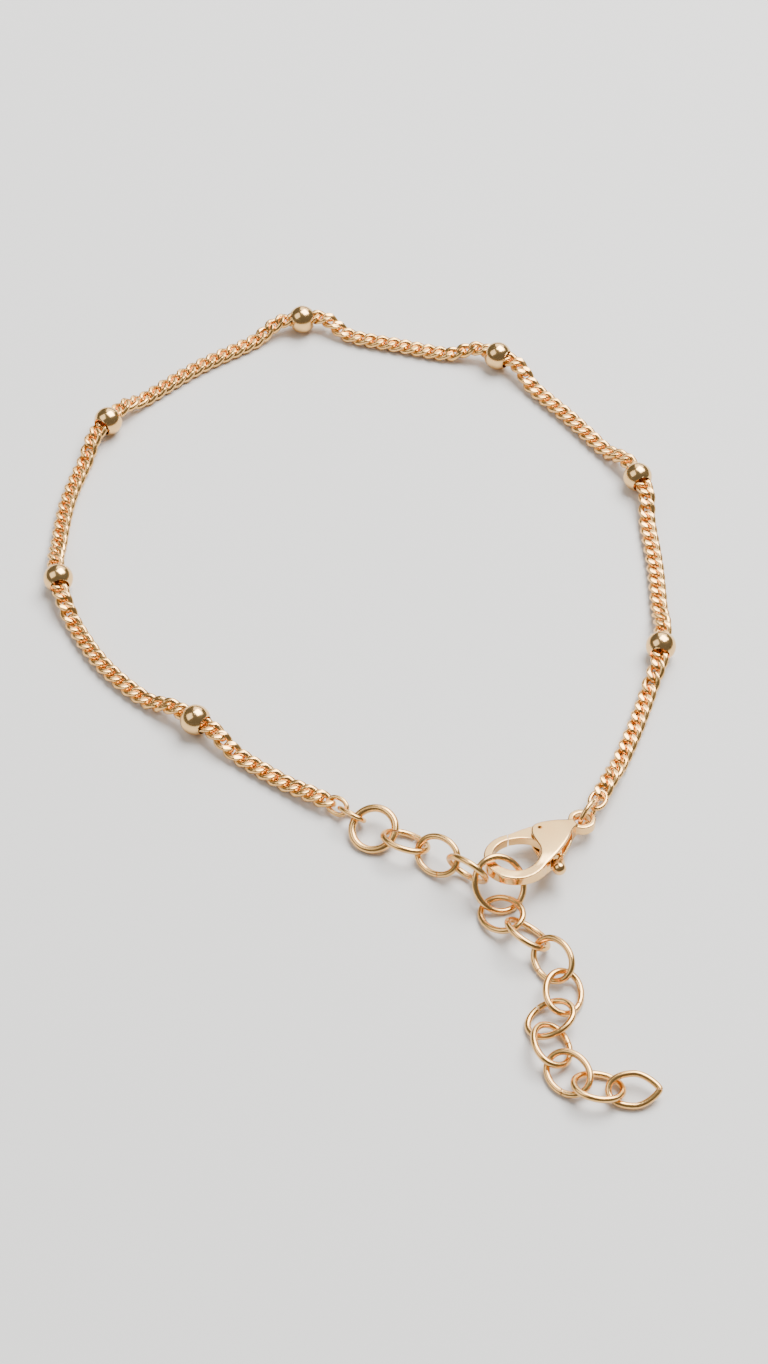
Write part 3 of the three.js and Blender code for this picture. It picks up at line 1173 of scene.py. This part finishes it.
@dataclass(frozen=True)
class SoftLight:
    """A square soft light. Its distance and size are in metres and its power is in watts.

    azimuth is its bearing, clockwise from the far side, and elevation its height above the horizon, both in
    degrees.
    """

    name: str
    azimuth: float
    elevation: float
    distance: float
    size: float
    power: float

    def hang(self, target: Vector) -> None:
        """Hangs the light.

        Args:
            target: The point of the frame that it faces.
        """
        data = bpy.data.lights.new(self.name, "AREA")
        data.size = self.size
        data.energy = self.power
        light = bpy.data.objects.new(self.name, data)
        bearing = math.radians(self.azimuth)
        height = math.radians(self.elevation)
        level = math.cos(height)
        away = Vector((math.sin(bearing) * level, math.cos(bearing) * level, math.sin(height)))
        light.location = target + away * self.distance
        light.rotation_euler = away.to_track_quat("Z", "Y").to_euler()
        bpy.context.collection.objects.link(light)


LIGHTS = [
    SoftLight("key", azimuth=40, elevation=60, distance=0.6, size=0.45, power=9.0),
    SoftLight("back", azimuth=12, elevation=34, distance=0.7, size=0.5, power=1.9),
    SoftLight("fill", azimuth=-100, elevation=50, distance=0.7, size=0.5, power=1.6),
]


@dataclass
class Studio:
    """The pale floor, the soft lights and the camera. The camera looks at the plan's origin."""

    workshop: Workshop
    elevation: float = 50.0
    distance: float = 212.2
    lens: float = 68.6
    clip: Point = (0.01, 20.0)
    floor_size: float = 6.0
    surroundings: Colour = (1.0, 0.99, 0.97, 1.0)
    surroundings_strength: float = 0.17

    def build(self) -> None:
        """Makes the floor, the camera, the lights and the surroundings."""
        target = self.workshop.origin * MM
        self._floor()
        self._camera(target)
        for light in LIGHTS:
            light.hang(target)
        world = bpy.data.worlds.new("studio")
        world.use_nodes = True
        background = world.node_tree.nodes["Background"]
        background.inputs["Color"].default_value = self.surroundings
        background.inputs["Strength"].default_value = self.surroundings_strength
        bpy.context.scene.world = world

    def _floor(self) -> None:
        """Lays the floor at height 0."""
        Bench.clear()
        bpy.ops.mesh.primitive_plane_add(size=self.floor_size)
        floor = Bench.take("floor")
        floor.data.materials.append(PaleFloor().make())

    def _camera(self, target: Vector) -> None:
        """Sets the camera at the photograph's angle.

        Args:
            target: The point of the frame that it looks at.
        """
        angle = math.radians(self.elevation)
        data = bpy.data.cameras.new("camera")
        data.lens = self.lens
        data.clip_start, data.clip_end = self.clip
        camera = bpy.data.objects.new("camera", data)
        camera.location = target + Vector((0, -math.cos(angle), math.sin(angle))) * self.distance * MM
        camera.rotation_euler = (math.pi / 2 - angle, 0, 0)
        bpy.context.collection.objects.link(camera)
        bpy.context.scene.camera = camera


def main() -> None:
    """Builds the bracelet piece by piece, then the studio round it."""
    logging.basicConfig(level=logging.INFO, format="%(name)s: %(message)s")
    Bench.clear()
    workshop = Workshop()
    first_bead = next(support for support in SUPPORTS if support.name == "bead_1")
    workshop.open(first_bead.name, (first_bead.x, first_bead.y))
    Studio(workshop).build()
    route = ChainRoute()
    for node, piece in CurbChain(route).build().items():
        workshop.set_down(piece, Slot.WIRE, node)
    for node, piece in BeadRow(route).build().items():
        workshop.set_down(piece, Slot.POLISHED, node)
    clasp = LobsterClasp()
    workshop.set_down(clasp.build_body(), Slot.POLISHED, "clasp_body")
    workshop.set_down(clasp.build_lever(), Slot.POLISHED, "clasp_lever", Body.LEVER)
    for link in [clasp.ring(), *LINKS]:
        workshop.set_down(link.build(), Slot.WIRE, link.name)


if __name__ == "__main__":
    main()
